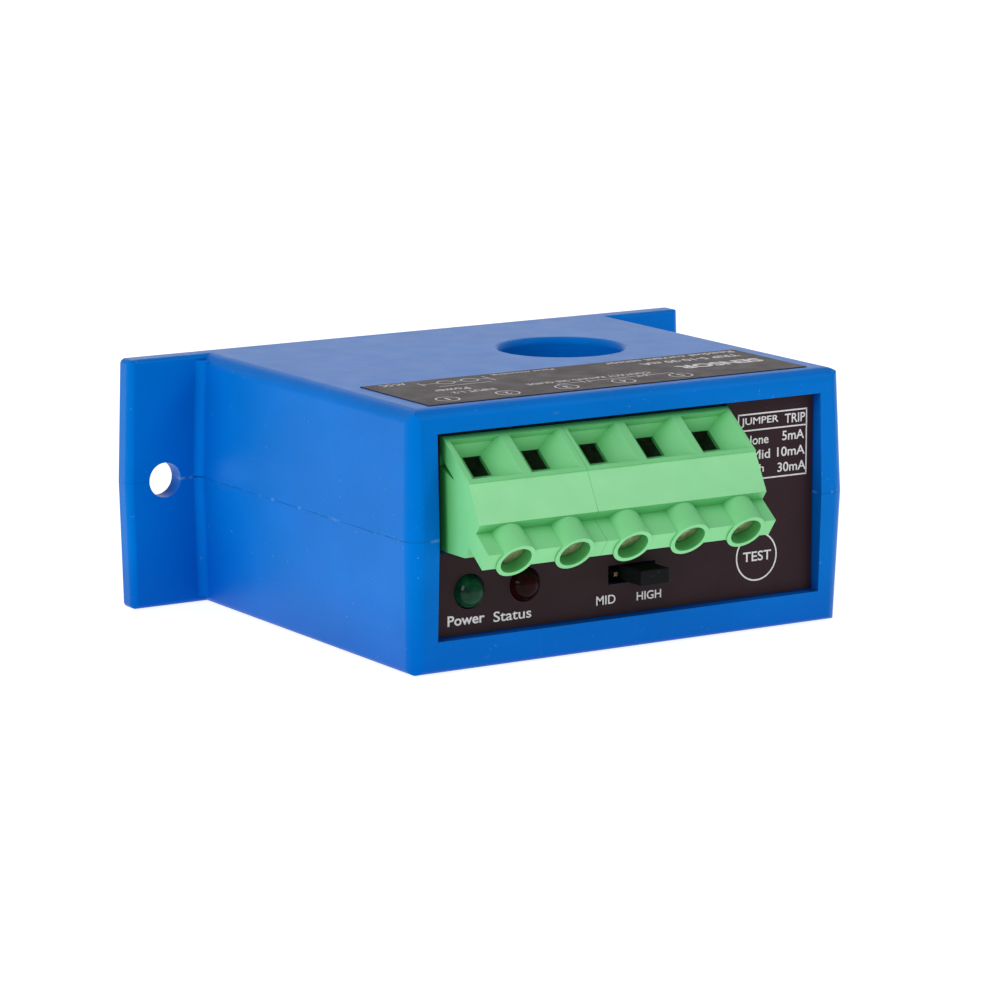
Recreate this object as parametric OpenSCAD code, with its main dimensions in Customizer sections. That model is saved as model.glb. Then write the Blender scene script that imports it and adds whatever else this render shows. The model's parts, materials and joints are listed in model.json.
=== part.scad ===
// Residual current device: a sealed sensing module with a round aperture for
// the conductors, two mounting ears, five screw terminals, two lamps, a
// three-pin trip jumper and a test button.
//
// Millimetres. X runs across the ears, Y from the front to the mounting face,
// Z up. The origin is midway between the two mounting holes, on the mounting
// face and on the seam between the two housing halves.

/* [Housing] */
// Width of the body at the seam
body_w = 76.7; // [76:0.1:80]
// Height of the upper half
upper_h = 18.9; // [18.8:0.1:19.6]
// Height of the lower half
lower_h = 19.7; // [19:0.1:20]
// Depth of the body from the front rim to the mounting face
body_d = 65.7; // [65:0.1:67]
// How far each side leans in between the seam and the top or bottom
side_draft = 0.6; // [0.2:0.1:1]
// How far the front rim leans back between the seam and the top or bottom
front_draft = 0.7; // [0.2:0.1:1]
// Thickness of the housing walls
wall = 2.2; // [1.8:0.1:2.4]
// Thickness of the roof and the floor
roof_t = 2; // [1.6:0.1:2.4]
// Radius of the body's upright corners
edge_r = 2.6; // [1:0.1:3]
// Radius of the edges round the top
top_edge_r = 2.4; // [1:0.1:2.6]
// Radius of the edges round the bottom
base_edge_r = 1; // [0.6:0.1:2]

/* [Mounting ears] */
// Overall width across both ears at the seam
ear_span = 101.8; // [100:0.1:104]
// Thickness of an ear
ear_t = 3.0; // [2.5:0.1:4]
// Radius of an ear's upright corner
ear_end_r = 1.3; // [0.6:0.1:1.5]
// Radius of an ear's other edges
ear_edge_r = 0.9; // [0.4:0.1:1.2]
// Distance between the two mounting holes
hole_spacing = 88.9; // [86:0.1:92]
// Diameter of a mounting hole
hole_d = 5.4; // [4:0.1:6]

/* [Aperture] */
// Diameter of the aperture for the conductors
aperture_d = 19; // [16:0.1:19.5]
// Distance of the aperture's axis from the middle of the body
aperture_x = 12.6; // [12:0.1:13]
// Distance of the aperture's axis from the mounting face
aperture_back = 26; // [25.8:0.1:26.2]
// Thickness of the tube round the aperture
tube_wall = 1.75; // [1.2:0.05:1.8]
// Radius that breaks the edge of the aperture
aperture_lip = 1.15; // [0.3:0.05:1.4]

/* [Front panel] */
// Half the width of the recess in the front
recess_half_w = 33.6; // [33.4:0.1:34]
// Lower edge of the recess, below the seam
recess_low = 15.0; // [14.8:0.1:15.2]
// Upper edge of the recess, above the seam
recess_high = 15.3; // [15.2:0.1:15.6]
// Depth of the recess behind the front rim
recess_d = 2.45; // [2.2:0.05:2.6]
// Thickness of the wall at the bottom of the recess
panel_t = 1.8; // [1.6:0.1:2]
// Thickness of the printed labels
label_t = 0.25; // [0.1:0.05:0.3]
// Diameter of the windows over the lamps
led_window_d = 5.3; // [5.2:0.1:6]

/* [Terminals] */
// Distance between neighbouring terminals
pitch = 9.94; // [9.9:0.02:10]
// Angle of the screws below the horizontal
tilt = 36.87; // [36:0.01:37.5]
// Outer diameter of a screw barrel
barrel_d = 6.2; // [6:0.1:6.4]
// Diameter of the hole in a screw barrel
barrel_bore = 4.9; // [4.8:0.1:5]
// Diameter of a screw's head
head_d = 4.6; // [4.4:0.1:4.7]
// Diameter of a screw's thread
thread_d = 4.0; // [3.5:0.1:4]

/* [Circuit board] */
// Distance from the mounting face to the front of the circuit board
board_front = 54.1; // [54:0.1:54.2]
// Thickness of the circuit board
board_t = 1.6; // [1.4:0.1:1.6]

/* [Sensing coil] */
// Outer diameter of the winding
winding_d = 37.2; // [36:0.2:37.4]
// Height of the winding
winding_h = 24; // [22:0.5:25]
// Outer diameter of the core
core_d = 33.2; // [32:0.2:33.4]
// Inner diameter of the core
core_bore = 27.6; // [27:0.2:28]

/* [Hidden] */
// Names of all parts. The numbered ones are one per terminal.
POLES = [0, 1, 2, 3, 4];

$fn = 48;
// A cut reaches this far past the face it opens
past = 1;
// Clearance between pieces that only pass each other
gap = 0.1;
// Clearance of a turning or sliding fit, on the radius
fit = 0.05;
// How far joined pieces run into each other
sliver = 0.01;
// How far a rounding cylinder stands proud of the faces that it blends
proud = 0.01;

half_w = body_w / 2;
inner_half_w = half_w - wall - 0.15;
panel_y = -body_d + recess_d;
panel_back = panel_y + panel_t;
back_inner = -2.2;
tube_r = aperture_d / 2 + tube_wall;

led_z = -8.5;
led_xs = [-27.3, -17.8];
led_r = 2.5;
test_x = 23.3;
test_film_r = 3.5;
test_z = -8.8;
jumper_z = -8.85;
jumper_pin_xs = [-1.67, 0.87, 3.41];
jumper_window = [[-3.3, -10.2], [5.0, -7.4]];
// How far the film overhangs the edge of the jumper's window
film_overhang = 0.3;

block_left = -32.1;
block_split = -12.05;
first_pole = -27;
block_right = first_pole + 4 * pitch + 4.75;
block_seam = 0.04;
terminal_window_low = -2.35;
terminal_slack = 0.4;

board_y = -board_front;
board_back = board_y + board_t;
board_half_w = 35.5;
board_half_h = 16.6;

// ---------------------------------------------------------------- shapes

// A box between two corners
module box(low, high)
    translate(low)
        cube(high - low);

// A round bar along Y from y0 to y1
module bar_y(r, y0, y1)
    translate([0, y0, 0])
        rotate([-90, 0, 0])
            cylinder(r = r, h = y1 - y0);

// The two mirror images of a shape, left and right
module both_sides() {
    children();
    mirror([1, 0, 0])
        children();
}

// ------------------------------------------------------ housing halves

// What is cut away to round an edge along Z: all of the first quadrant that
// lies outside a cylinder
module edge_cut(r, h)
    difference() {
        translate([0, 0, -past])
            cube([r + past, r + past, h + 2 * past]);
        translate([0, 0, -2 * past])
            cylinder(r = r, h = h + 4 * past);
    }

// A slab of height h above the seam whose two ends lean in by side_draft at
// the top. It runs along Y from y0 to y1.
module leaning_slab(half, h, y0, y1)
    translate([0, y1, 0])
        rotate([90, 0, 0])
            linear_extrude(y1 - y0)
                polygon([[-half, 0], [half, 0], [half - side_draft, h],
                         [-half + side_draft, h]]);

// Cuts that round a slab: its front corners by corner_r and its upper edges
// by rim_r. The rounding cylinders stand slightly proud of the faces.
module slab_cuts(half, h, depth, front_lean, corner_r, rim_r) {
    corner_in = corner_r - proud;
    rim_in = rim_r - proud;
    side_angle = atan(side_draft / h);
    front_angle = atan(front_lean * cos(side_angle) / h);
    both_sides() {
        translate([half - side_draft * (h - rim_in) / h - rim_in, 0,
                   h - rim_in])
            rotate([90, 0, 0])
                edge_cut(rim_r, depth);
        translate([half - corner_in, -depth + corner_in, 0])
            rotate([-front_angle, -side_angle, 0])
                rotate([0, 0, -90])
                    edge_cut(corner_r, h + past);
    }
    translate([-half, -depth + front_lean * (h - rim_in) / h + rim_in,
               h - rim_in])
        rotate([90, 0, 90])
            mirror([1, 0, 0])
                edge_cut(rim_r, 2 * half);
}

// The body's outside above the seam, with its drafted sides
module body_half(h, rim_r)
    difference() {
        leaning_slab(half_w, h, -body_d, 0);
        translate([-half_w - past, -body_d, 0])
            rotate([90, 0, 90])
                linear_extrude(body_w + 2 * past)
                    polygon([[-past, -past],
                             [-front_draft * past / h, -past],
                             [front_draft * (1 + past / h), h + past],
                             [-past, h + past]]);
        slab_cuts(half_w, h, body_d, front_draft, edge_r, rim_r);
    }

// Both ears above the seam, as one plate across the back
module ear_half(h)
    difference() {
        leaning_slab(ear_span / 2, h, -ear_t, 0);
        slab_cuts(ear_span / 2, h, ear_t, 0, ear_end_r, ear_edge_r);
    }

// The fillet in the corner between the body's side and the ear's front
module ear_fillet(r, h) {
    in = r - proud;
    translate([half_w, -ear_t, 0])
        rotate([0, -atan(side_draft / h), 0])
            difference() {
                box([-past, -in, 0.05], [in, past, h - ear_edge_r]);
                translate([in, -in, -past])
                    cylinder(r = r, h = h + 2 * past);
            }
}

// The aperture with its rounded mouth, cut from a half
module aperture_cut(h) {
    r = aperture_d / 2;
    in = aperture_lip - proud;
    translate([aperture_x, -aperture_back, 0])
        rotate_extrude()
            difference() {
                translate([0, -past])
                    square([r + in, h + 2 * past]);
                translate([r, -2 * past])
                    square([2 * past, h - in + 2 * past]);
                translate([r + in, h - in])
                    circle(aperture_lip);
            }
}

// The tongue on the lower half that sits in a groove of the upper half
module seam_tongue(slack) {
    reach = inner_half_w + 0.9 + slack;
    both_sides()
        box([inner_half_w - slack, -46, -sliver],
            [reach, -1.4 + slack, 1.4 + slack]);
    box([-reach, back_inner - slack, -sliver],
        [reach, -1.4 + slack, 1.4 + slack]);
}

// The guides that hold the circuit board's edges
module board_guides(h)
    both_sides()
        for (y = [board_y - 1.5, board_back + gap])
            box([inner_half_w - 1.6, y, h / 3],
                [inner_half_w + sliver, y + 1.4, h]);

peg_places = [[32.5, -5.6], [32.5, -47.5], [-32.5, -5.6], [-32.5, -47.5]];

// One half as a shell: outside, cavity, recess, tube, holes and guides
module shell_half(h, rim_r, recess_top) {
    inner_h = h - roof_t;
    difference() {
        union() {
            difference() {
                union() {
                    body_half(h, rim_r);
                    ear_half(h);
                    both_sides()
                        ear_fillet(1.5, h);
                }
                box([-inner_half_w, panel_back, -past],
                    [inner_half_w, back_inner, inner_h]);
                box([-recess_half_w, -body_d - past, -past],
                    [recess_half_w, panel_y, recess_top]);
            }
            translate([aperture_x, -aperture_back, 0])
                cylinder(r = tube_r, h = inner_h + sliver);
            board_guides(inner_h + sliver);
            for (p = peg_places)
                translate([p[0], p[1], 0])
                    cylinder(r = 2.9, h = inner_h + sliver);
        }
        aperture_cut(h);
        both_sides()
            translate([hole_spacing / 2, -ear_t - past, 0])
                rotate([-90, 0, 0])
                    cylinder(d = hole_d, h = ear_t + 2 * past);
    }
}

module upper_shell()
    color("#0a62c4")
        difference() {
            shell_half(upper_h, top_edge_r, recess_high);
            box([block_left - terminal_slack, panel_y - past, -past],
                [block_right + terminal_slack, panel_back + past,
                 recess_high]);
            seam_tongue(gap);
            for (p = peg_places)
                translate([p[0], p[1], -past])
                    cylinder(r = 1.5 + fit, h = 5 + past);
        }

module lower_shell()
    color("#0a62c4") {
        difference() {
            mirror([0, 0, 1])
                shell_half(lower_h, base_edge_r, recess_low);
            box([block_left - terminal_slack, panel_y - past,
                 terminal_window_low],
                [block_right + terminal_slack, panel_back + past, past]);
            for (x = led_xs)
                translate([x, 0, led_z])
                    bar_y(led_window_d / 2, panel_y - past,
                          panel_back + past);
            box([jumper_window[0][0] - film_overhang, panel_y - past,
                 jumper_window[0][1] - film_overhang],
                [jumper_window[1][0] + film_overhang, panel_back + past,
                 jumper_window[1][1] + film_overhang]);
            translate([test_x, 0, test_z]) {
                bar_y(2.2, panel_y - past, panel_back + past);
                bar_y(test_film_r + 0.2, panel_y - past, panel_y + 0.7);
            }
        }
        seam_tongue(0);
        for (p = peg_places)
            translate([p[0], p[1], -2])
                cylinder(r = 1.5, h = 6.5);
    }

// -------------------------------------------------------------- labels

// The printed film in the recess, cut out round what comes through it
module front_label()
    color("#2a1f22")
        difference() {
            box([-recess_half_w + 0.2, panel_y - label_t, -recess_low + 0.2],
                [recess_half_w - 0.2, panel_y, recess_high - 0.2]);
            box([block_left - gap, panel_y - past, terminal_window_low - gap],
                [block_right + gap, panel_y + past, recess_high + past]);
            for (x = led_xs)
                translate([x, 0, led_z])
                    bar_y(led_window_d / 2 - fit, panel_y - past,
                          panel_y + past);
            box([jumper_window[0][0], panel_y - past, jumper_window[0][1]],
                [jumper_window[1][0], panel_y + past, jumper_window[1][1]]);
            translate([test_x, 0, test_z])
                bar_y(test_film_r + fit, panel_y - past, panel_y + past);
        }

top_label_front = -62.2;
top_label_back = -42.8;

module top_label()
    color("#2a1f22")
        box([-33.2, top_label_front, upper_h],
            [33.1, top_label_back, upper_h + label_t / 2]);

// ----------------------------------------------------------- terminals
// Each terminal has its own frame: u points out along the screw, v out of
// the wire entry, and x across. These are (u, v) sizes of the block's side.

tb_y = -65.2;
tb_z = -19.1;
entry_u = [-21.3, -12.0];
entry_v = 26.2;
slope_v = [25.95, 23.3];
step_u = -6.4;
ledge_u = -2.1;
ledge_v = [18.6, 21.65];
heel_v = 16.6;
screw_v = 20.0;
wire_u = -17.5;

// A point of the terminal's frame, as [y, z]
function tb_point(u, v) =
    [tb_y - u * cos(tilt) - v * sin(tilt),
     tb_z - u * sin(tilt) + v * cos(tilt)];

block_side = [
    [board_y, tb_point(entry_u[0], entry_v)[1]],
    tb_point(entry_u[0], entry_v),
    tb_point(entry_u[1], entry_v),
    tb_point(entry_u[1], slope_v[0]),
    tb_point(step_u, slope_v[1]),
    tb_point(step_u, ledge_v[1]),
    tb_point(ledge_u, ledge_v[1]),
    tb_point(ledge_u, ledge_v[0]),
    tb_point(step_u, ledge_v[0]),
    tb_point(step_u, heel_v),
    [board_y, tb_point(step_u, heel_v)[1]]
];

function pole_x(pole) = first_pole + pole * pitch;

// Moves a shape from a terminal's frame (x, v, u) to its place
module at_pole(pole)
    translate([pole_x(pole), tb_y, tb_z])
        rotate([90 + tilt, 0, 0])
            children();

cage_half_x = 3.3;
cage_v = [17.3, 22.5];
cage_u = [-21.4, -11.9];
cage_window_u = [-20.4, -13.6];
cage_travel = 4.9;
bar_u = [-15.0, -14.2];
bar_half_x = 2.0;
bar_bend_v = 13.7;
head_u = [-5.6, -3.7];
entry_half_x = 4.25;
funnel_u = [-20.4, -12.7];
funnel_low = entry_v - 2.9;
// The back wall of the funnel is straight down to here, then slopes
funnel_break = entry_v - 1;
wire_half = [1.55, 1.95];
// How far the throat widens towards the board below the funnel
throat_flare = 1.3;

// The funnel of a wire entry: its sides slope in from the rim to the throat
module entry_funnel() {
    slope = (entry_half_x - wire_half[0]) / (entry_v - funnel_low);
    mouth = entry_half_x + slope * past;
    intersection() {
        translate([0, 0, funnel_u[0] - past])
            linear_extrude(funnel_u[1] - funnel_u[0] + 2 * past)
                polygon([[-wire_half[0], funnel_low],
                         [wire_half[0], funnel_low],
                         [mouth, entry_v + past], [-mouth, entry_v + past]]);
        translate([-mouth - past, 0, 0])
            rotate([90, 0, 90])
                linear_extrude(2 * (mouth + past))
                    polygon([[funnel_low, wire_u - wire_half[1]],
                             [funnel_low, wire_u + wire_half[1]],
                             [entry_v - 0.4, funnel_u[1]],
                             [entry_v + 2 * past, funnel_u[1]],
                             [entry_v + 2 * past, funnel_u[0]],
                             [funnel_break, funnel_u[0]]]);
    }
}

// The throat from the funnel down to the clamp
module entry_throat()
    translate([-wire_half[0], 0, 0])
        rotate([90, 0, 90])
            linear_extrude(2 * wire_half[0])
                polygon([[cage_v[0], wire_u - wire_half[1] - throat_flare],
                         [cage_v[1], wire_u - wire_half[1] - throat_flare],
                         [funnel_low + sliver, wire_u - wire_half[1]],
                         [funnel_low + sliver, wire_u + wire_half[1]],
                         [cage_v[0], wire_u + wire_half[1]]]);

// Everything hollow in one pole of the block
module pole_hollows() {
    // screw barrel, and the neck that the thread passes
    translate([0, screw_v, head_u[0] - fit])
        cylinder(d = barrel_bore, h = 2 * past - head_u[0]);
    translate([0, screw_v, cage_u[1]])
        cylinder(d = thread_d + 0.3, h = -cage_u[1] + head_u[0]);
    // room for the clamp's whole travel
    box([-cage_half_x - 0.2, cage_v[0] - 0.2, cage_u[0] - 0.6],
        [cage_half_x + 0.2, cage_v[1] + 0.2, cage_u[1] + cage_travel + 0.2]);
    // slot for the current bar down to its bend
    box([-bar_half_x - 0.2, bar_bend_v - 0.8, bar_u[0] - 0.6],
        [bar_half_x + 0.2, cage_v[0], bar_u[1] + 0.6]);
    entry_funnel();
    entry_throat();
}

// The wedge-shaped slot in the block's left end, by the front panel
end_slot = [[panel_y, 12.0], [panel_y, 10.4], [-67.0, 8.9], [-67.0, 9.15]];
end_slot_depth = 0.7;

module terminal_block(poles, x0, x1)
    color("#6fd184")
        difference() {
            union() {
                translate([x0, 0, 0])
                    rotate([90, 0, 90])
                        linear_extrude(x1 - x0)
                            polygon(block_side);
                for (pole = poles)
                    at_pole(pole)
                        translate([0, screw_v, step_u - 2])
                            cylinder(d = barrel_d, h = ledge_u - step_u + 2.2);
            }
            for (pole = poles) {
                at_pole(pole)
                    pole_hollows();
                translate([pole_x(pole), 0, 0])
                    box([-bar_half_x - 0.2, bar_bend[0] - 1, bar_bend[1] - 0.8],
                        [bar_half_x + 0.2, board_y + past,
                         bar_bend[1] + 0.8]);
            }
            translate([block_left - past, 0, 0])
                rotate([90, 0, 90])
                    linear_extrude(past + end_slot_depth)
                        polygon(end_slot);
        }

module terminal_block_2pole()
    terminal_block([0, 1], block_left, block_split);

module terminal_block_3pole()
    terminal_block([2, 3, 4], block_split + block_seam, block_right);

// Direction of each screw's slot at rest
slot_angles = [38, 30, 52, 44, 35];

module terminal_screw(pole)
    color("#b39a6b")
        at_pole(pole)
            translate([0, screw_v, 0])
                difference() {
                    union() {
                        translate([0, 0, head_u[0]])
                            cylinder(d = head_d, h = head_u[1] - head_u[0]);
                        translate([0, 0, bar_u[1] + fit])
                            cylinder(d = thread_d,
                                     h = head_u[0] - bar_u[1] - fit + sliver);
                    }
                    rotate([0, 0, slot_angles[pole]])
                        box([-head_d, -0.45, head_u[1] - 1.1],
                            [head_d, 0.45, head_u[1] + past]);
                }

module clamp_cage(pole)
    color("#a9a9ad")
        at_pole(pole)
            difference() {
                box([-cage_half_x, cage_v[0], cage_u[0]],
                    [cage_half_x, cage_v[1], cage_u[1]]);
                box([-cage_half_x + 0.8, cage_v[0] - past, cage_window_u[0]],
                    [cage_half_x - 0.8, cage_v[1] + past, cage_window_u[1]]);
                translate([0, screw_v, cage_u[0]])
                    translate([0, 0, cage_window_u[1] - cage_u[0] - past])
                        cylinder(r = thread_d / 2 + fit, h = 2 * past + 2);
            }

// Where the current bars bend towards the board, as [y, z]
bar_bend = tb_point((bar_u[0] + bar_u[1]) / 2, bar_bend_v);
bar_pin_xs = [-1.4, 1.4];

module current_bars()
    color("#c9c6bd")
        for (pole = POLES) {
            at_pole(pole)
                box([-bar_half_x, bar_bend_v - 0.35, bar_u[0]],
                    [bar_half_x, cage_v[1] - 0.2, bar_u[1]]);
            translate([pole_x(pole), 0, bar_bend[1]]) {
                box([-bar_half_x, bar_bend[0] - 0.35, -0.4],
                    [bar_half_x, board_y - gap, 0.4]);
                for (x = bar_pin_xs)
                    box([x - 0.5, board_y - 0.5, -0.4],
                        [x + 0.5, board_back + 1.3, 0.4]);
            }
        }

// ------------------------------------------------------- lamps, jumper

led_dome_y = -63;
led_flange_y = -57.9;

module led_lens(x)
    translate([x, 0, led_z]) {
        bar_y(led_r, led_dome_y, led_flange_y + sliver);
        bar_y(led_r + 0.4, led_flange_y, led_flange_y + 1);
        translate([0, led_dome_y, 0])
            sphere(led_r);
    }

module led_leads(x)
    for (side = [-1.27, 1.27])
        box([x + side - 0.25, led_flange_y + 1, led_z - 0.25],
            [x + side + 0.25, board_back, led_z + 0.25]);

module power_led()
    color("#0d5a2c")
        led_lens(led_xs[0]);

module power_led_leads()
    color("#c9c6bd")
        led_leads(led_xs[0]);

module status_led()
    color("#3a0f12")
        led_lens(led_xs[1]);

module status_led_leads()
    color("#c9c6bd")
        led_leads(led_xs[1]);

header_h = 2.5;
pin_half = 0.32;
pin_tip = panel_y + 0.15;

module jumper_header()
    color("#17171a")
        difference() {
            box([jumper_pin_xs[0] - 1.27, board_y - header_h, jumper_z - 1.27],
                [jumper_pin_xs[2] + 1.27, board_y, jumper_z + 1.27]);
            for (x = jumper_pin_xs)
                box([x - pin_half, board_y - header_h - past,
                     jumper_z - pin_half],
                    [x + pin_half, board_y + past, jumper_z + pin_half]);
        }

module jumper_pins()
    color("#c8a24a")
        for (x = jumper_pin_xs)
            box([x - pin_half, pin_tip, jumper_z - pin_half],
                [x + pin_half, board_back, jumper_z + pin_half]);

// The shunt bridges the middle and the right-hand pin
shunt_mid = (jumper_pin_xs[1] + jumper_pin_xs[2]) / 2 - 0.1;
shunt_half = [2.5, 1.15];
shunt_y = [-67.9, -57.4];
contact_half = [2.0, 0.72];

module jumper_shunt()
    color("#17171a")
        difference() {
            box([shunt_mid - shunt_half[0], shunt_y[0],
                 jumper_z - shunt_half[1]],
                [shunt_mid + shunt_half[0], shunt_y[1],
                 jumper_z + shunt_half[1]]);
            box([shunt_mid - contact_half[0], shunt_y[0] + 3.6,
                 jumper_z - contact_half[1]],
                [shunt_mid + contact_half[0], shunt_y[1] + past,
                 jumper_z + contact_half[1]]);
        }

module shunt_contact()
    color("#c8a24a")
        difference() {
            box([shunt_mid - contact_half[0], shunt_y[0] + 3.6,
                 jumper_z - contact_half[1]],
                [shunt_mid + contact_half[0], shunt_y[1] - 0.6,
                 jumper_z + contact_half[1]]);
            for (x = [jumper_pin_xs[1], jumper_pin_xs[2]])
                box([x - pin_half - 0.08, pin_tip - 0.5,
                     jumper_z - pin_half - 0.08],
                    [x + pin_half + 0.08, shunt_y[1] + past,
                     jumper_z + pin_half + 0.08]);
        }

// --------------------------------------------------------- test button

switch_h = 3.6;
plunger_r = 1.75;

module test_button_film()
    color("#2a1f22")
        translate([test_x, 0, test_z])
            bar_y(test_film_r, panel_y - label_t, panel_y);

module test_switch_plunger()
    color("#202022")
        translate([test_x, 0, test_z])
            bar_y(plunger_r, panel_y, board_y - 2.2);

module test_switch_body()
    color("#2b2b2e")
        translate([test_x, 0, test_z])
            difference() {
                box([-3.1, board_y - switch_h, -3.1], [3.1, board_y, 3.1]);
                bar_y(plunger_r + fit, board_y - switch_h - past,
                      board_y - 1.6);
            }

// ------------------------------------------------------- circuit board

module circuit_board()
    color("#1c6b3a")
        difference() {
            box([-board_half_w, board_y, -board_half_h],
                [board_half_w, board_back, board_half_h]);
            for (pole = POLES)
                for (x = bar_pin_xs)
                    translate([pole_x(pole) + x, 0, bar_bend[1]])
                        bar_y(0.8, board_y - past, board_back + past);
            for (x = led_xs)
                for (side = [-1.27, 1.27])
                    translate([x + side, 0, led_z])
                        bar_y(0.45, board_y - past, board_back + past);
            for (x = jumper_pin_xs)
                translate([x, 0, jumper_z])
                    bar_y(0.5, board_y - past, board_back + past);
            for (p = relay_pin_places)
                translate([p[0], 0, p[1]])
                    bar_y(0.6, board_y - past, board_back + past);
        }

// -------------------------------------------------------- sensing coil

pad_r = [winding_d / 2 - 0.8, tube_r + 0.3];

module ring(r_out, r_in, h)
    translate([aperture_x, -aperture_back, 0])
        rotate_extrude()
            translate([r_in, -h / 2])
                square([r_out - r_in, h]);

core_h = winding_h - 4;

module toroid_core()
    color("#4a4a50")
        ring(core_d / 2, core_bore / 2, core_h);

module toroid_winding()
    color("#b5652c")
        difference() {
            ring(winding_d / 2, tube_r + 0.6, winding_h);
            ring(core_d / 2, core_bore / 2, core_h);
        }

module coil_pads()
    color("#3c3c3c")
        for (end = [upper_h - roof_t, roof_t - lower_h])
            translate([0, 0, (end + sign(end) * winding_h / 2) / 2])
                ring(pad_r[0], pad_r[1], abs(end) - winding_h / 2);

lead_places = [[24, 5], [24, 8]];

module toroid_leads()
    color("#b03a2e")
        for (p = lead_places)
            translate([p[0], 0, p[1]])
                bar_y(0.55, board_back, -41.4);

// ------------------------------------------------ parts on the board

relay_low = [-28.4, board_back + 0.2, 1.8];
relay_high = [-9.4, board_back + 15.2, 16.4];
relay_pin_places = [[-27, 4], [-27, 14.4], [-14.5, 4], [-14.5, 14.4],
                    [-11.5, 9.2]];

module output_relay()
    color("#2f4f8f")
        box(relay_low, relay_high);

module relay_pins()
    color("#c9c6bd")
        for (p = relay_pin_places)
            translate([p[0], 0, p[1]])
                bar_y(0.4, board_y + gap, relay_low[1]);

transformer_x = [-28.4, -8.4];
transformer_z = [-16.2, -1.2];
limb = 3;

// Laminated frame with a middle limb across it
module transformer_core()
    color("#6a6a6e")
        difference() {
            box([transformer_x[0], board_back + 5, transformer_z[0]],
                [transformer_x[1], board_back + 13, transformer_z[1]]);
            for (z = [transformer_z[0] + limb, -7.2])
                box([transformer_x[0] + limb, board_back, z],
                    [transformer_x[1] - limb, board_back + 20, z + 3]);
        }

module transformer_coil()
    color("#d8c27a")
        difference() {
            box([transformer_x[0] + limb + 0.1, board_back + 0.4,
                 transformer_z[0] + limb + 0.1],
                [transformer_x[1] - limb - 0.1, board_back + 17.6, -4.3]);
            box([transformer_x[0], board_back + 4.9,
                 transformer_z[0] + 2 * limb - 0.1],
                [transformer_x[1], board_back + 13.1, -7.1]);
        }

capacitor_r = 3.6;
capacitor_places = [[-3.5, 12.3], [-3.5, 4.8]];

module filter_capacitors()
    color("#28324a")
        for (p = capacitor_places)
            translate([p[0], 0, p[1]])
                bar_y(capacitor_r, board_back + gap, board_back + 10);

module varistor()
    color("#2f6fb0") {
        translate([-7.6, -46.4, -8.2])
            rotate([0, 90, 0])
                cylinder(r = 5, h = 3.6);
        for (z = [-10.7, -5.7])
            translate([-5.8, 0, z])
                bar_y(0.4, board_back, -47);
    }

module fuse()
    color("#5a3a22")
        translate([7, 0, -11.8])
            bar_y(4.2, board_back, board_back + 6.8);

module rectifier()
    color("#1d1d20")
        box([14, board_back, -15.4], [19, board_back + 2.5, -10.4]);

module control_chips()
    color("#1d1d20")
        for (z = [-5, 4])
            box([11, board_back, z], [20, board_back + 1.7, z + 4.5]);

module chip_resistors()
    color("#222226")
        for (row = [0:4])
            for (column = [0:1])
                translate([27 + 3.6 * column, board_back, -13.6 + 3.4 * row])
                    cube([2, 0.6, 1.25]);

// --------------------------------------------------------------- parts

upper_shell();
lower_shell();
front_label();
top_label();
terminal_block_2pole();
terminal_block_3pole();
for (pole = POLES)
    terminal_screw(pole);
for (pole = POLES)
    clamp_cage(pole);
current_bars();
power_led();
power_led_leads();
status_led();
status_led_leads();
jumper_header();
jumper_pins();
jumper_shunt();
shunt_contact();
test_button_film();
test_switch_plunger();
test_switch_body();
circuit_board();
toroid_core();
toroid_winding();
coil_pads();
toroid_leads();
output_relay();
relay_pins();
transformer_core();
transformer_coil();
filter_capacitors();
varistor();
fuse();
rectifier();
control_chips();
chip_resistors();
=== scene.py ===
"""Looks of a residual current device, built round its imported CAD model.

Everything is in metres, in the CAD model's own frame: X across the ears, Y towards the mounting
face, Z up, with the origin between the mounting holes on the back face and the seam.
"""

import json
import math

import bpy
from mathutils import Matrix, Vector


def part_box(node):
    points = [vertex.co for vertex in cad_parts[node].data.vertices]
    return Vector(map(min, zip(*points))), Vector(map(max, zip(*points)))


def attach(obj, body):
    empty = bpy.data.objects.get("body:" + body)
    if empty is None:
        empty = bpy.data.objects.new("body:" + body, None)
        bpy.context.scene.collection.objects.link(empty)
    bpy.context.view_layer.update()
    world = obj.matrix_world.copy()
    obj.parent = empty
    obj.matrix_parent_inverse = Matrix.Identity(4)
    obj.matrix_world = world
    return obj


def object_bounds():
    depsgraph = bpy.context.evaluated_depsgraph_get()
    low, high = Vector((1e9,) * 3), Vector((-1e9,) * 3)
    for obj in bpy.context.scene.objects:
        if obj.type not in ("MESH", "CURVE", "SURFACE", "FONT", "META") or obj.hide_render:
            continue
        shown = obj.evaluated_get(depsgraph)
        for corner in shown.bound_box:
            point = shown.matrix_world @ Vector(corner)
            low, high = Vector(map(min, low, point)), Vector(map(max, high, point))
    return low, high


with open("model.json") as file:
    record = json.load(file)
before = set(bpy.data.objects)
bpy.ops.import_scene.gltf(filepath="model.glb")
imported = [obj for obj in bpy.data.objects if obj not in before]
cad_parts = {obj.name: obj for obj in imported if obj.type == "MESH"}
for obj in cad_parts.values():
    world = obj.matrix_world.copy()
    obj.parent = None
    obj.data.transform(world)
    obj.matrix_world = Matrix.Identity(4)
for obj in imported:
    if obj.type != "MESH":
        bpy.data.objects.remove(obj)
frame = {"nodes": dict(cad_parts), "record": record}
cad_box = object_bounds()
NODES = frame["nodes"]
MM = 0.001

# ------------------------------------------------------------------ camera, lights and floor

# The floor is this far under the housing, so that the two faces don't coincide
FLOOR_GAP = 0.2 * MM
FLOOR_SIZE = 12

CAMERA_PLACE = Vector((-370.3, -617.7, 128.9)) * MM
CAMERA_YAW = 0.561
CAMERA_PITCH = 0.188
LENS = 166.3


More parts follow.
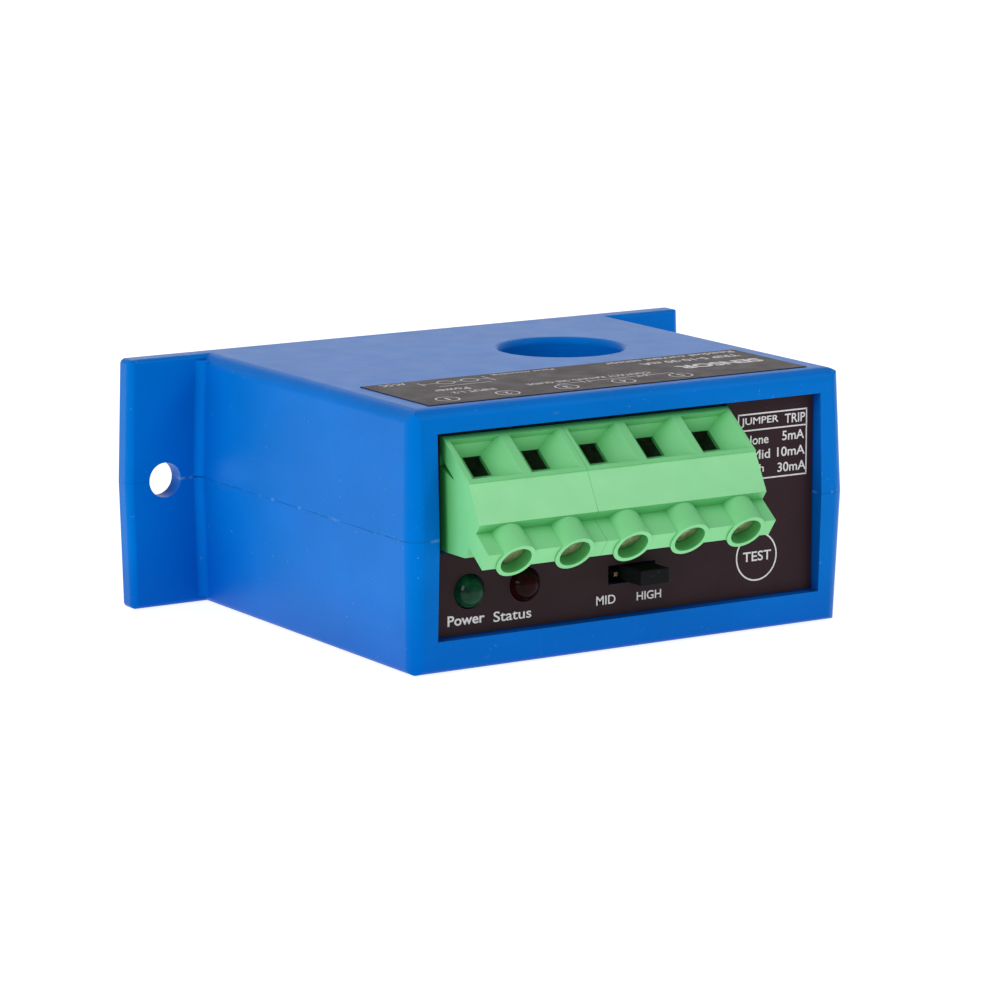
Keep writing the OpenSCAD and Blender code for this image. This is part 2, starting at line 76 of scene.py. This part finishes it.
def make_camera():
    data = bpy.data.cameras.new("camera")
    data.lens = LENS
    data.clip_start = 0.01
    camera = bpy.data.objects.new("camera", data)
    camera.location = CAMERA_PLACE
    camera.rotation_euler = (math.pi / 2 - CAMERA_PITCH, 0, -CAMERA_YAW)
    bpy.context.scene.collection.objects.link(camera)
    bpy.context.scene.camera = camera


def area_light(name, place, target, size, power):
    """A square soft box at place that faces target."""
    data = bpy.data.lights.new(name, "AREA")
    data.size = size
    data.energy = power
    light = bpy.data.objects.new(name, data)
    light.location = place
    light.rotation_euler = (Vector(target) - Vector(place)).to_track_quat("-Z", "Y").to_euler()
    bpy.context.scene.collection.objects.link(light)


def make_studio():
    middle = (0, -0.035, 0)
    area_light("key", (-1.0, -0.35, 0.5), middle, 0.6, 5.1)
    area_light("fill", (0.55, -0.72, 0.72), middle, 0.35, 2.2)
    area_light("backdrop", (0.62, 1.03, 0.36), middle, 0.9, 2.1)
    world = bpy.data.worlds.new("studio")
    world.use_nodes = True
    world.node_tree.nodes["Background"].inputs["Color"].default_value = (1, 1, 1, 1)
    world.node_tree.nodes["Background"].inputs["Strength"].default_value = 0.4
    bpy.context.scene.world = world
    bpy.context.scene.view_settings.view_transform = "Standard"


def make_floor(z):
    bpy.ops.mesh.primitive_plane_add(size=FLOOR_SIZE, location=(0, 0, z))
    floor = bpy.context.object
    floor.name = "floor"
    floor.data.materials.append(plain_floor())


# ------------------------------------------------------------------ material building blocks


class Nodes:
    """A short way to wire one material's nodes."""

    def __init__(self, name):
        self.material = bpy.data.materials.new(name)
        self.material.use_nodes = True
        self.tree = self.material.node_tree
        self.shader = self.tree.nodes["Principled BSDF"]
        self.place = self.add("ShaderNodeTexCoord").outputs["Object"]

    def add(self, kind, **values):
        node = self.tree.nodes.new(kind)
        for key, value in values.items():
            setattr(node, key, value)
        return node

    def link(self, output, socket):
        self.tree.links.new(output, socket)

    def noise(self, size, detail=3.0, stretch=None):
        """Noise whose features are about size metres across, as a 0 to 1 value; stretch scales the
        coordinates per axis, so that more than 1 makes the features narrower."""
        node = self.add("ShaderNodeTexNoise")
        node.inputs["Scale"].default_value = 1 / size
        node.inputs["Detail"].default_value = detail
        node.inputs["Roughness"].default_value = 0.55
        if stretch is None:
            self.link(self.place, node.inputs["Vector"])
        else:
            mapping = self.add("ShaderNodeMapping")
            mapping.inputs["Scale"].default_value = stretch
            self.link(self.place, mapping.inputs["Vector"])
            self.link(mapping.outputs["Vector"], node.inputs["Vector"])
        return node.outputs["Fac"]

    def ramp(self, value, low, high, out_low=0.0, out_high=1.0):
        """value mapped from low...high to out_low...out_high, held at both ends."""
        node = self.add("ShaderNodeMapRange")
        node.inputs["From Min"].default_value = low
        node.inputs["From Max"].default_value = high
        node.inputs["To Min"].default_value = out_low
        node.inputs["To Max"].default_value = out_high
        self.link(value, node.inputs["Value"])
        return node.outputs["Result"]

    def blend(self, factor, first, second):
        """first where factor is 0 and second where it is 1; each is a colour or an output."""
        node = self.add("ShaderNodeMix", data_type="RGBA")
        self.link(factor, node.inputs[0])
        for value, socket in ((first, node.inputs[6]), (second, node.inputs[7])):
            if isinstance(value, tuple):
                socket.default_value = (*value, 1)
            else:
                self.link(value, socket)
        return node.outputs[2]

    def axis(self, index):
        """One of the object coordinates: 0 for X, 1 for Y, 2 for Z."""
        node = self.add("ShaderNodeSeparateXYZ")
        self.link(self.place, node.inputs[0])
        return node.outputs[index]

    def maths(self, operation, first, second=None):
        """One arithmetic step; each value is a number or an output."""
        node = self.add("ShaderNodeMath", operation=operation)
        for value, socket in zip((first, second), node.inputs):
            if value is None:
                continue
            if isinstance(value, (int, float)):
                socket.default_value = value
            else:
                self.link(value, socket)
        return node.outputs[0]

    def shelter(self, distance):
        """How open the surface is to its surroundings: 0 in a tight corner and 1 in the open."""
        node = self.add("ShaderNodeAmbientOcclusion")
        node.inputs["Distance"].default_value = distance
        return node.outputs["AO"]

    def bump(self, height, depth, strength=1.0, under=None):
        """Bump of depth metres from a 0 to 1 height, on top of another bump's normal."""
        node = self.add("ShaderNodeBump")
        node.inputs["Distance"].default_value = depth
        node.inputs["Strength"].default_value = strength
        self.link(height, node.inputs["Height"])
        if under is not None:
            self.link(under, node.inputs["Normal"])
        return node.outputs["Normal"]

    def set(self, **values):
        """Constants on the shader's own sockets; an underscore stands for a space."""
        for key, value in values.items():
            self.shader.inputs[key.replace("_", " ")].default_value = value

    def wire(self, **outputs):
        for key, output in outputs.items():
            self.link(output, self.shader.inputs[key.replace("_", " ")])


def shade(colour, factor):
    return tuple(min(1.0, c * factor) for c in colour)


def plain_floor():
    n = Nodes("floor")
    n.wire(Base_Color=n.blend(n.noise(0.4), (0.38, 0.38, 0.38), (0.4, 0.4, 0.4)))
    n.set(Roughness=0.9, Emission_Color=(1, 1, 1, 1), Emission_Strength=0.86)
    return n.material


def parting_line(n, colour, finish, surface):
    """The finish and bump of a material with a parting line drawn on them at Z = 0: a thin dark
    groove that wanders and fades, with pale burrs along it."""
    wander = n.maths("MULTIPLY", n.maths("SUBTRACT", n.noise(0.004, 4), 0.5), 0.0003)
    height = n.maths("ABSOLUTE", n.maths("ADD", n.axis(2), wander))
    line = n.ramp(height, 0.00004, 0.00010, 1.0, 0.0)
    groove = n.maths("MULTIPLY", line, n.ramp(n.noise(0.006, 3), 0.4, 0.6, 0.1, 0.6))
    burr = n.maths("MULTIPLY", n.ramp(height, 0.0001, 0.0003, 1.0, 0.0),
                   n.ramp(n.noise(0.0035, 6), 0.54, 0.68))
    finish = n.blend(groove, finish, shade(colour, 0.35))
    finish = n.blend(n.maths("MULTIPLY", burr, 0.5), finish, (0.22, 0.5, 0.85))
    return finish, n.bump(n.maths("SUBTRACT", burr, groove), 0.00008, 0.8, under=surface)


def moulded_plastic(name, colour, roughness=0.42, grain=0.00028, depth=0.000012, marks=0.35,
                    glow=0.0, gloss=0.3, tint=(1, 1, 1), seam=False, painted_shade=None,
                    painted_shade_reach=0.004):
    """Injection-moulded plastic: fine texture, cloudy gloss, faint rub marks and specks. A seam
    adds the parting line of the two halves. A given shade colour is painted into the corners: the
    colour fades to it where the surroundings within the given reach in metres shelter the surface."""
    n = Nodes(name)
    cloud = n.noise(0.012, 2)
    rub = n.noise(0.003, 6, stretch=(1.0, 1.0, 2.5))
    speck = n.noise(0.0006, 1)
    tone = n.blend(n.ramp(cloud, 0.35, 0.7), shade(colour, 0.95), shade(colour, 1.04))
    pale = tuple(c * 0.7 + 0.3 * 0.7 for c in colour)
    rubbed = n.blend(n.ramp(rub, 0.68, 0.85, 0.0, marks), tone, pale)
    finish = n.blend(n.ramp(speck, 0.75, 0.78, 0.0, 2 * marks), rubbed, pale)
    rough = n.ramp(n.noise(0.004, 5), 0.3, 0.75, roughness - 0.02, roughness + 0.04)
    surface = n.bump(n.noise(grain, 2), depth)
    # Painted shade: darker colour in the corners and recesses, where the surroundings are close.
    if painted_shade:
        finish = n.blend(n.ramp(n.shelter(painted_shade_reach), 0.25, 0.85), painted_shade, finish)
    if seam:
        finish, surface = parting_line(n, colour, finish, surface)
    n.wire(Base_Color=finish, Roughness=rough, Normal=surface)
    n.set(Subsurface_Weight=glow, Subsurface_Radius=(0.002, 0.003, 0.0015),
          Subsurface_Scale=0.5, IOR=1.47, Specular_IOR_Level=gloss,
          Specular_Tint=(*tint, 1))
    return n.material


def printed_film(name):
    """Dark polycarbonate label film with dust, fine texture and a soft sheen."""
    n = Nodes(name)
    base = n.blend(n.noise(0.01, 3), (0.024, 0.010, 0.014), (0.034, 0.016, 0.021))
    dusty = n.blend(n.ramp(n.noise(0.0003, 2), 0.74, 0.8, 0.0, 0.25), base, (0.3, 0.27, 0.27))
    rough = n.ramp(n.noise(0.003, 5), 0.3, 0.7, 0.42, 0.52)
    fine = n.bump(n.noise(0.00018, 2), 0.000009)
    n.wire(Base_Color=dusty, Roughness=rough, Normal=n.bump(n.noise(0.014, 2), 0.00008, 0.6,
                                                            under=fine))
    n.set(IOR=1.5, Specular_IOR_Level=0.12)
    return n.material


def print_ink(name):
    """Screen-printed off-white ink with slightly uneven cover."""
    n = Nodes(name)
    cover = n.noise(0.00022, 4)
    n.wire(Base_Color=n.blend(n.ramp(cover, 0.25, 0.5), (0.5, 0.46, 0.48), (0.76, 0.74, 0.76)),
           Roughness=n.ramp(cover, 0.3, 0.7, 0.45, 0.62),
           Normal=n.bump(cover, 0.000008))
    return n.material


def metal(name, colour, roughness=0.35, tarnish=(0.1, 0.08, 0.05), amount=0.5):
    """Plated metal: fine grain, tarnish in patches and uneven gloss."""
    n = Nodes(name)
    patches = n.noise(0.0016, 5)
    grain = n.noise(0.0006, 4)
    tone = n.blend(n.ramp(grain, 0.3, 0.7), shade(colour, 0.82), colour)
    n.wire(Base_Color=n.blend(n.ramp(patches, 0.5, 0.75, 0.0, amount), tone, tarnish),
           Roughness=n.ramp(grain, 0.3, 0.7, roughness - 0.08, roughness + 0.1),
           Normal=n.bump(grain, 0.00001, 0.7))
    n.set(Metallic=1.0)
    return n.material


def lamp_lens(name, colour, core, gloss):
    """Tinted epoxy lamp: a glossy skin over a cloudy, darker inside."""
    n = Nodes(name)
    cloud = n.noise(0.0018, 3)
    n.wire(Base_Color=n.blend(n.ramp(cloud, 0.35, 0.65), core, colour),
           Roughness=n.ramp(n.noise(0.0008, 3), 0.3, 0.7, 0.06, 0.12),
           Normal=n.bump(n.noise(0.0006, 2), 0.000004))
    n.set(Transmission_Weight=0.1, IOR=1.4, Specular_IOR_Level=gloss)
    return n.material


def coated(name, colour, roughness=0.5, size=0.002, depth=0.00002, second=None):
    """General two-tone finish for the parts inside: cloudy colour, uneven gloss and bump."""
    n = Nodes(name)
    cloud = n.noise(size, 4)
    n.wire(Base_Color=n.blend(n.ramp(cloud, 0.35, 0.65), colour, second or shade(colour, 0.7)),
           Roughness=n.ramp(cloud, 0.3, 0.7, roughness - 0.08, roughness + 0.08),
           Normal=n.bump(n.noise(size / 5, 3), depth))
    return n.material


def wound(name, colour, groove, spacing, direction):
    """Wire or tape wound in even turns, spacing metres apart along direction X, Y or Z."""
    n = Nodes(name)
    wave = n.add("ShaderNodeTexWave", wave_type="BANDS", bands_direction=direction)
    wave.inputs["Scale"].default_value = 1 / (spacing * 20) * math.pi
    wave.inputs["Distortion"].default_value = 0.6
    n.link(n.place, wave.inputs["Vector"])
    turns = wave.outputs["Fac"]
    # The groove colour darkens the bands between the turns: painted shade in the creases between
    # them.
    n.wire(Base_Color=n.blend(turns, groove, colour),
           Roughness=n.ramp(n.noise(0.002, 3), 0.3, 0.7, 0.25, 0.4),
           Normal=n.bump(turns, spacing / 3))
    return n.material


BLUE = (0.0, 0.164, 0.62)
GREEN = (0.20, 0.66, 0.26)
BLACK = (0.010, 0.010, 0.012)


def make_materials():
    """One material for each material slot of the record."""
    # The darker colours that the housing and the terminal blocks fade to in their corners are
    # painted shade.
    return {
        "housing": moulded_plastic("housing", BLUE, 0.40, marks=0.2, gloss=0.25,
                                   tint=(0.0, 0.45, 0.9), seam=True, painted_shade=(0.0, 0.085, 0.47),
                                   painted_shade_reach=0.018),
        "label": printed_film("label"),
        "terminal_plastic": moulded_plastic("terminal_plastic", GREEN, 0.34, 0.0004, 0.000006,
                                            0.15, glow=0.02, gloss=0.6,
                                            painted_shade=(0.03, 0.34, 0.07), painted_shade_reach=0.005),
        "screw": metal("screw", (0.80, 0.66, 0.46), 0.36, (0.22, 0.13, 0.07), 0.45),
        "clamp": metal("clamp", (0.58, 0.56, 0.52), 0.38, (0.2, 0.16, 0.1)),
        "tinned": metal("tinned", (0.7, 0.69, 0.66), 0.3),
        "green_lens": lamp_lens("green_lens", (0.003, 0.055, 0.022), (0.001, 0.02, 0.012), 0.2),
        "red_lens": lamp_lens("red_lens", (0.022, 0.002, 0.003), (0.008, 0.001, 0.001), 0.06),
        "black_plastic": moulded_plastic("black_plastic", BLACK, 0.5, marks=0.05, gloss=0.06),
        "gold": metal("gold", (0.83, 0.62, 0.27), 0.25),
        "board": coated("board", (0.02, 0.16, 0.06), 0.35, second=(0.03, 0.24, 0.09)),
        "core": coated("core", (0.08, 0.08, 0.09), 0.5),
        "copper_wire": wound("copper_wire", (0.5, 0.17, 0.05), (0.1, 0.03, 0.01), 0.0005, "Z"),
        "foam": coated("foam", (0.05, 0.05, 0.05), 0.9, 0.0006, 0.0001),
        "lead_insulation": coated("lead_insulation", (0.45, 0.04, 0.03), 0.35),
        "relay_case": moulded_plastic("relay_case", (0.03, 0.07, 0.25), 0.45, marks=0.1),
        "lamination": wound("lamination", (0.3, 0.3, 0.31), (0.08, 0.08, 0.08), 0.0005, "Y"),
        "coil_tape": coated("coil_tape", (0.6, 0.5, 0.12), 0.3),
        "capacitor_sleeve": coated("capacitor_sleeve", (0.03, 0.03, 0.08), 0.28),
        "varistor_coat": coated("varistor_coat", (0.03, 0.12, 0.4), 0.4),
        "fuse_case": coated("fuse_case", (0.12, 0.05, 0.02), 0.45),
    }


# ------------------------------------------------------------------ CAD nodes


def round_edges(node, width, angle=30):
    """Small moulded radii on the CAD node's edges that turn by more than angle degrees, by
    modifiers alone."""
    mesh = node.data
    custom = mesh.attributes.get("custom_normal")
    if custom is not None:
        mesh.attributes.remove(custom)
    for face in mesh.polygons:
        face.use_smooth = True
    weld = node.modifiers.new("weld", "WELD")
    weld.merge_threshold = 0.000002
    flat = node.modifiers.new("flat", "DECIMATE")
    flat.decimate_type = "DISSOLVE"
    flat.angle_limit = math.radians(0.5)
    bevel = node.modifiers.new("bevel", "BEVEL")
    bevel.width = width
    bevel.segments = 2
    bevel.limit_method = "ANGLE"
    bevel.angle_limit = math.radians(angle)
    bevel.miter_outer = "MITER_ARC"
    bevel.use_clamp_overlap = True
    normals = node.modifiers.new("normals", "WEIGHTED_NORMAL")
    normals.keep_sharp = True


def dress_nodes(materials):
    """Gives each CAD node its slot's material."""
    for part in frame["record"]["subparts"]:
        node = NODES[part["node"]]
        node.data.materials.clear()
        node.data.materials.append(materials[part["material_slot"]])


# ------------------------------------------------------------------ label print


def join_meshes(name, parts):
    """One object from (vertices, faces) pairs, all in metres."""
    vertices, faces = [], []
    for part_vertices, part_faces in parts:
        start = len(vertices)
        vertices.extend(part_vertices)
        faces.extend([tuple(start + i for i in face) for face in part_faces])
    mesh = bpy.data.meshes.new(name)
    mesh.from_pydata([tuple(v) for v in vertices], [], faces)
    mesh.update()
    piece = bpy.data.objects.new(name, mesh)
    bpy.context.scene.collection.objects.link(piece)
    return piece


def lettering(text, x0, x1, y0, y1, bold=0.012):
    """Flat letters of the built-in font that fill the box x0...x1, y0...y1, in millimetres;
    bold thickens them."""
    curve = bpy.data.curves.new("text", "FONT")
    curve.body = text
    curve.offset = bold
    curve.resolution_u = 4
    holder = bpy.data.objects.new("text", curve)
    bpy.context.scene.collection.objects.link(holder)
    bpy.context.view_layer.update()
    mesh = bpy.data.meshes.new_from_object(holder.evaluated_get(
        bpy.context.evaluated_depsgraph_get()))
    xs = [v.co.x for v in mesh.vertices]
    ys = [v.co.y for v in mesh.vertices]
    x_scale = (x1 - x0) / (max(xs) - min(xs))
    y_scale = (y1 - y0) / (max(ys) - min(ys))
    points = [Vector((x0 + (v.co.x - min(xs)) * x_scale, y0 + (v.co.y - min(ys)) * y_scale, 0))
              for v in mesh.vertices]
    faces = [tuple(face.vertices) for face in mesh.polygons]
    bpy.data.objects.remove(holder)
    return points, faces


def bar(x0, y0, x1, y1, width):
    """A straight printed line between two points, in millimetres."""
    along = Vector((x1 - x0, y1 - y0, 0)).normalized()
    side = Vector((-along.y, along.x, 0)) * width / 2
    a, b = Vector((x0, y0, 0)), Vector((x1, y1, 0))
    return [a - side, b - side, b + side, a + side], [(0, 1, 2, 3)]


def ring(x, y, radius, width, turn=math.tau, start=0.0, steps=64):
    """A printed circle or arc, in millimetres; radius is to the line's middle."""
    closed = abs(turn - math.tau) < 1e-6
    count = steps if closed else steps + 1
    points = []
    for i in range(count):
        angle = start + turn * i / steps
        for r in (radius - width / 2, radius + width / 2):
            points.append(Vector((x + r * math.cos(angle), y + r * math.sin(angle), 0)))
    total = len(points)
    faces = [((2 * i) % total, (2 * i + 1) % total, (2 * i + 3) % total, (2 * i + 2) % total)
             for i in range(steps)]
    return points, faces


def frame_lines(x0, y0, x1, y1, width):
    """The four lines of a printed box."""
    h = width / 2
    return [bar(x0 - h, y0, x1 + h, y0, width), bar(x0 - h, y1, x1 + h, y1, width),
            bar(x0, y0, x0, y1, width), bar(x1, y0, x1, y1, width)]


def print_piece(name, parts, place, materials):
    """Printed parts drawn on a plane, laid on a label by the matrix place."""
    placed = [([place @ (p * MM) for p in points], faces) for points, faces in parts]
    piece = join_meshes(name, placed)
    piece.data.materials.append(materials["ink"])
    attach(piece, "housing")
    return piece


# How far printed marks stand off their label, and the height that the front marks' y starts
# from, both in millimetres
INK_LIFT = 0.012
PRINT_BASE = -19.1


def front_print(materials):
    """Marks on the front label: x across, and y up from PRINT_BASE."""
    rule = 0.22
    parts = [
        lettering("Power", -31.0, -24.7, 5.75, 7.3, bold=0.02),
        lettering("Status", -23.2, -16.7, 5.55, 7.1, bold=0.01),
        lettering("MID", -5.4, -2.0, 6.0, 7.35),
        lettering("HIGH", 1.75, 6.1, 5.95, 7.25),
        lettering("TEST", 20.85, 26.0, 9.6, 11.1),
        ring(23.3, 10.3, 3.62, 0.24),
        lettering("JUMPER", 20.3, 27.1, 30.1, 31.5),
        lettering("TRIP", 28.25, 32.0, 30.1, 31.5),
        lettering("None", 20.9, 25.3, 27.35, 28.75),
        lettering("Mid", 22.3, 25.6, 25.1, 26.5),
        lettering("High", 20.8, 24.5, 22.7, 24.3),
        lettering("5mA", 27.8, 31.85, 27.5, 28.95),
        lettering("10mA", 26.9, 32.0, 25.1, 26.55),
        lettering("30mA", 27.0, 32.2, 22.75, 24.2),
        bar(19.8, 29.56, 32.25, 29.56, rule),
    ]
    parts += frame_lines(19.8, 22.1, 32.25, 32.0, rule)
    low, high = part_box("front_label")
    place = Matrix.Translation((0, low.y - INK_LIFT * MM, PRINT_BASE * MM)) @ Matrix.Rotation(
        math.pi / 2, 4, "X")
    print_piece("front_print", parts, place, materials)


def relay_symbol(first, second, y):
    """A contact between two terminals: a line from each, y apart from their circles, to a gap
    between two plates."""
    line = 0.2
    middle = (first + second) / 2
    side = math.copysign(0.5, second - first)
    return [bar(first, y + 0.9, first, y, line), bar(second, y + 0.9, second, y, line),
            bar(first, y, middle - side, y, line), bar(middle + side, y, second, y, line),
            bar(middle - side, y - 0.7, middle - side, y + 0.7, line),
            bar(middle + side, y - 0.7, middle + side, y + 0.7, line)]


def top_print(materials):
    """A generic wiring guide on the top label. It reads from the mounting face: x runs from
    right to left, and y runs from the label's back edge to its front edge."""
    circles = [28.07, 17.85, 7.65, -2.33, -12.51]
    parts = []
    for number, x in enumerate(circles, 1):
        parts.append(ring(x, 16.1, 1.75, 0.22))
        half = 0.2 if number == 1 else 0.5
        parts.append(lettering(str(number), x - half, x + half, 15.3, 16.9))
    parts += relay_symbol(circles[2], circles[3], 13.5)
    parts += relay_symbol(circles[3], circles[4], 13.5)
    parts += [
        bar(-8.9, 12.6, -5.9, 14.4, 0.2),
        lettering("Power", 20.2, 26.1, 8.3, 10.1),
        lettering("INPUT 1-2", 17.4, 24.6, 11.2, 12.7),
        lettering("CONTACT RATING: SEE GUIDE", -10.0, 11.6, 10.9, 12.2),
        lettering("SENSOR", -31.0, -16.0, 8.8, 11.8, bold=0.04),
        lettering("TRIP 5-10-30 mA", -30.6, -13.0, 4.0, 5.9, bold=0.02),
        lettering("Residual current sensor", -31.9, -8.6, 0.9, 2.5),
        lettering("Panel mounting", 0.5, 11.3, 0.7, 1.9),
        lettering("AC DC", 26.4, 30.6, 0.7, 2.2, bold=0.02),
        ring(16.5, 3.4, 1.3, 0.2), ring(20.6, 3.4, 1.3, 0.2),
        bar(17.8, 3.4, 19.3, 3.4, 0.2), bar(13.2, 3.4, 15.2, 3.4, 0.2),
        bar(21.9, 3.4, 24.8, 3.4, 0.2), bar(24.8, 2.2, 24.8, 4.6, 0.2),
        bar(13.2, 1.4, 13.2, 5.4, 0.2), bar(14.4, 6.2, 23.4, 6.2, 0.2),
    ]
    low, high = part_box("top_label")
    place = (Matrix.Translation((0, high.y, high.z + INK_LIFT * MM))
             @ Matrix.Rotation(math.pi, 4, "Z"))
    print_piece("top_print", parts, place, materials)


# ------------------------------------------------------------------ build

make_camera()
make_studio()
make_floor(cad_box[0].z - FLOOR_GAP)

MATERIALS = make_materials()
MATERIALS["ink"] = print_ink("ink")
dress_nodes(MATERIALS)
for shell in ("upper_shell", "lower_shell"):
    round_edges(NODES[shell], 0.12 * MM)
for block in ("terminal_block_2pole", "terminal_block_3pole"):
    round_edges(NODES[block], 0.18 * MM, angle=14)
for small in ("jumper_shunt", "jumper_header"):
    round_edges(NODES[small], 0.12 * MM)
front_print(MATERIALS)
top_print(MATERIALS)
